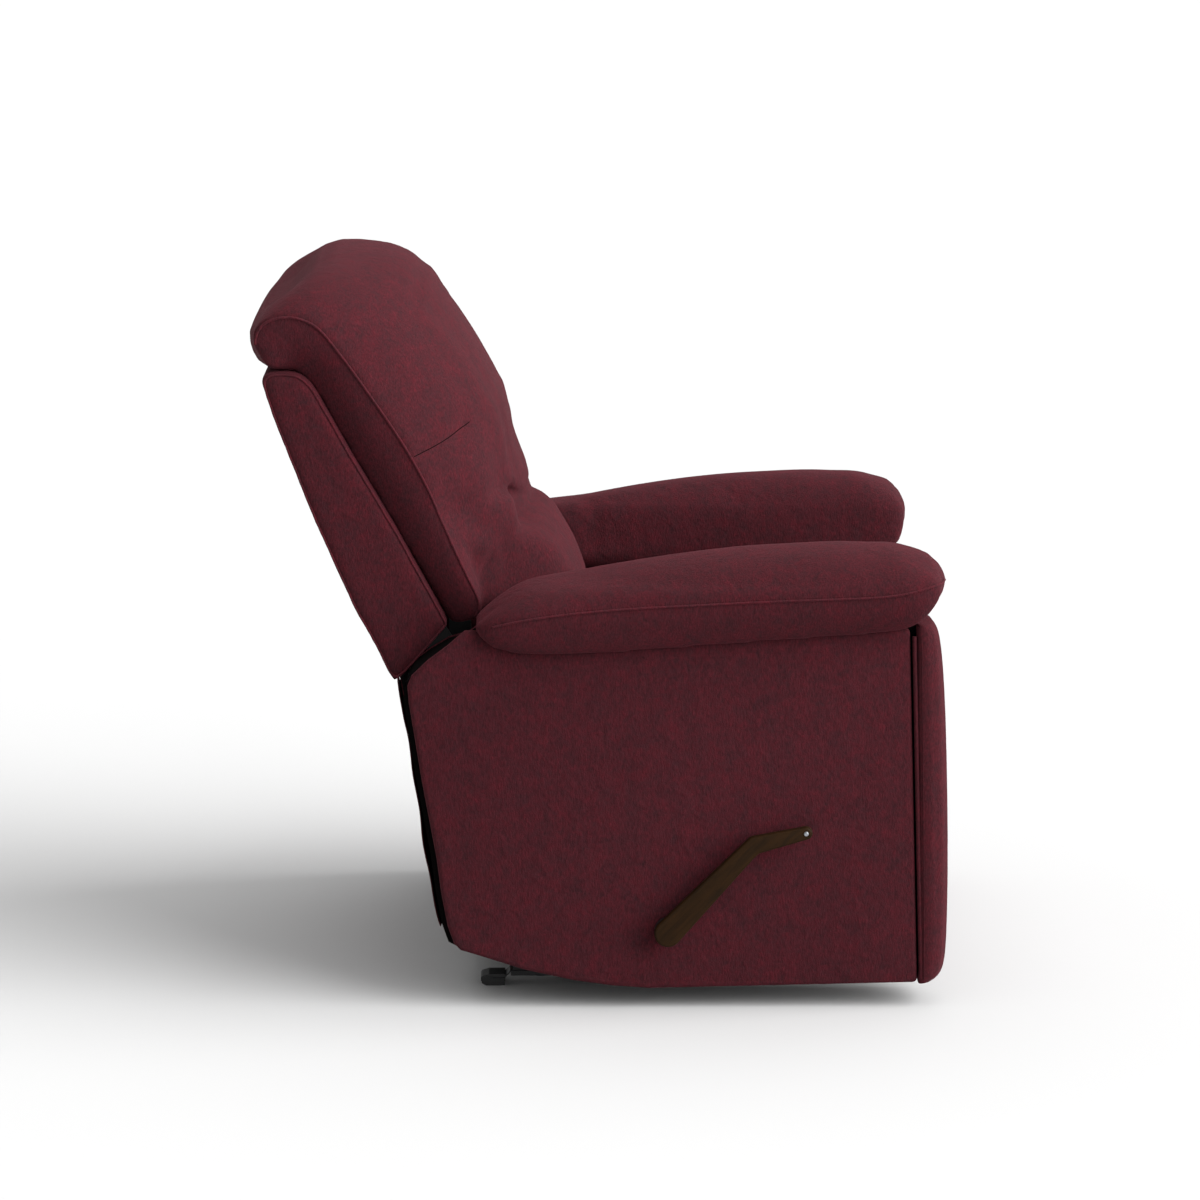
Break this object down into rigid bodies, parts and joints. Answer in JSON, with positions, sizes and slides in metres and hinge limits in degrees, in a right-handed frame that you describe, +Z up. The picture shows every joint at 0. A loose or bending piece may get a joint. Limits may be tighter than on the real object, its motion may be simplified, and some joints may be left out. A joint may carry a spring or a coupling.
{
  "type": "gliding recliner",
  "caption": "Upholstered easy chair that glides on hanging links, with a side lever that unfolds a leg rest and a back that reclines.",
  "frame": {"origin": "middle of the box at floor level, under the seat", "axes": "+Z up, the sitter faces -Y, +X is the sitter's left; the lever is on the -X side"},
  "size_m": [0.918, 0.9791, 1.0425],
  "materials": {
    "black_steel": "black painted steel",
    "black_plastic": "black moulded plastic",
    "zinc_steel": "zinc plated",
    "link_steel": "dark grey painted steel",
    "bright_steel": "bare pressed steel",
    "dark_timber": "timber box covered in black lining cloth",
    "upholstery": "dark wine-red velvet upholstery, mottled",
    "apron_cloth": "dark wine-red cloth",
    "timber": "plain sawn timber",
    "lever_wood": "dark brown wood, semi-gloss lacquer"
  },
  "bodies": {
    "base": {"base_rail_left": "black_steel", "base_rail_right": "black_steel", "base_feet": "black_plastic", "base_cross_front": "black_steel", "base_cross_rear": "black_steel", "glide_tower_left": "black_steel", "glide_tower_right": "black_steel", "glide_upper_pins": "zinc_steel"},
    "glide_rear": {"glide_links_rear": "link_steel"},
    "glide_front": {"glide_links_front": "link_steel"},
    "chassis": {"mechanism_rail_left": "black_steel", "mechanism_rail_right": "black_steel", "glide_lower_pins": "zinc_steel", "link_pivot_pins": "zinc_steel", "back_hinge_pins": "zinc_steel", "chassis_cross_front": "black_steel", "chassis_cross_rear": "black_steel", "seat_track_left": "bright_steel", "seat_track_right": "bright_steel", "rail_bolts": "zinc_steel", "arm_frame_left": "dark_timber", "arm_frame_right": "dark_timber", "inner_panel_left": "upholstery", "inner_panel_right": "upholstery", "side_panel_left": "upholstery", "side_panel_right": "upholstery", "arm_front_left": "upholstery", "arm_front_right": "upholstery", "arm_pillow_left": "upholstery", "arm_pillow_right": "upholstery", "rear_apron": "apron_cloth"},
    "seat": {"seat_frame": "timber", "seat_springs": "bright_steel", "seat_cushion": "upholstery", "seat_slide_brackets": "bright_steel"},
    "back": {"back_frame": "upholstery", "back_pillow": "upholstery", "back_bracket_left": "black_steel", "back_bracket_right": "black_steel"},
    "handle": {"handle_lever": "lever_wood", "handle_hub": "black_plastic", "handle_screw": "zinc_steel", "drive_shaft": "link_steel"},
    "drive": {"drive_links": "link_steel"},
    "leg_1": {"link_1_left": "link_steel", "link_1_right": "link_steel"},
    "leg_2": {"link_2_left": "link_steel", "link_2_right": "link_steel"},
    "leg_3": {"link_3_left": "link_steel", "link_3_right": "link_steel", "rivets_mid": "zinc_steel"},
    "leg_4": {"link_4_left": "link_steel", "link_4_right": "link_steel", "rivets_tail": "zinc_steel"},
    "legrest": {"legrest_board": "timber", "legrest_pad": "upholstery", "legrest_bracket_left": "black_steel", "legrest_bracket_right": "black_steel", "rivets_rest": "zinc_steel"}
  },
  "joints": [
    {"name": "glide", "type": "hinge", "parent": "base", "child": "glide_rear", "pos_m": [0, 0.09, 0.19], "axis": [-1, 0, 0], "range_deg": [-20, 20]},
    {"name": "glide_front_swing", "type": "hinge", "parent": "base", "child": "glide_front", "pos_m": [0, -0.17, 0.19], "axis": [-1, 0, 0], "range_deg": [-21, 21]},
    {"name": "chassis_level", "type": "hinge", "parent": "glide_rear", "child": "chassis", "pos_m": [0, 0.09, 0.08], "axis": [-1, 0, 0], "range_deg": [-21, 21]},
    {"name": "recline", "type": "hinge", "parent": "chassis", "child": "back", "pos_m": [0, 0.205, 0.352], "axis": [-1, 0, 0], "range_deg": [0, 30]},
    {"name": "seat_slide", "type": "slide", "parent": "chassis", "child": "seat", "axis": [0, -1, 0], "range_m": [-0.002, 0.033]},
    {"name": "handle_turn", "type": "hinge", "parent": "chassis", "child": "handle", "pos_m": [0, -0.087, 0.114], "axis": [-1, 0, 0], "range_deg": [0, 80]},
    {"name": "drive_swing", "type": "hinge", "parent": "handle", "child": "drive", "pos_m": [0, -0.08588, 0.08202], "axis": [-1, 0, 0], "range_deg": [-80.6, 1.5]},
    {"name": "link_1_swing", "type": "hinge", "parent": "chassis", "child": "leg_1", "pos_m": [0, -0.2257, 0.23], "axis": [-1, 0, 0], "range_deg": [-1.5, 50.9]},
    {"name": "link_2_swing", "type": "hinge", "parent": "chassis", "child": "leg_2", "pos_m": [0, -0.267, 0.285], "axis": [-1, 0, 0], "range_deg": [-1.5, 51.2]},
    {"name": "link_3_fold", "type": "hinge", "parent": "leg_2", "child": "leg_3", "pos_m": [0, -0.29652, 0.11758], "axis": [-1, 0, 0], "range_deg": [-72.5, 1.5]},
    {"name": "link_4_fold", "type": "hinge", "parent": "leg_2", "child": "leg_4", "pos_m": [0, -0.30694, 0.05849], "axis": [-1, 0, 0], "range_deg": [-69.2, 1.5]},
    {"name": "legrest_turn", "type": "hinge", "parent": "leg_3", "child": "legrest", "pos_m": [0, -0.38445, 0.30277], "axis": [-1, 0, 0], "range_deg": [-1.5, 112.8]}
  ],
  "couplings": [
    {"joint": "glide_front_swing", "follows": "glide", "ratio": 1},
    {"joint": "chassis_level", "follows": "glide", "ratio": -1},
    {"joint": "seat_slide", "follows": "recline", "m_per_rad": 0.057296},
    {"joint": "drive_swing", "follows": "handle_turn", "ratio": -0.98875},
    {"joint": "link_1_swing", "follows": "handle_turn", "ratio": 0.6175},
    {"joint": "link_2_swing", "follows": "handle_turn", "ratio": 0.62125},
    {"joint": "link_3_fold", "follows": "handle_turn", "ratio": -0.8875},
    {"joint": "link_4_fold", "follows": "handle_turn", "ratio": -0.84625},
    {"joint": "legrest_turn", "follows": "handle_turn", "ratio": 1.3913}
  ]
}
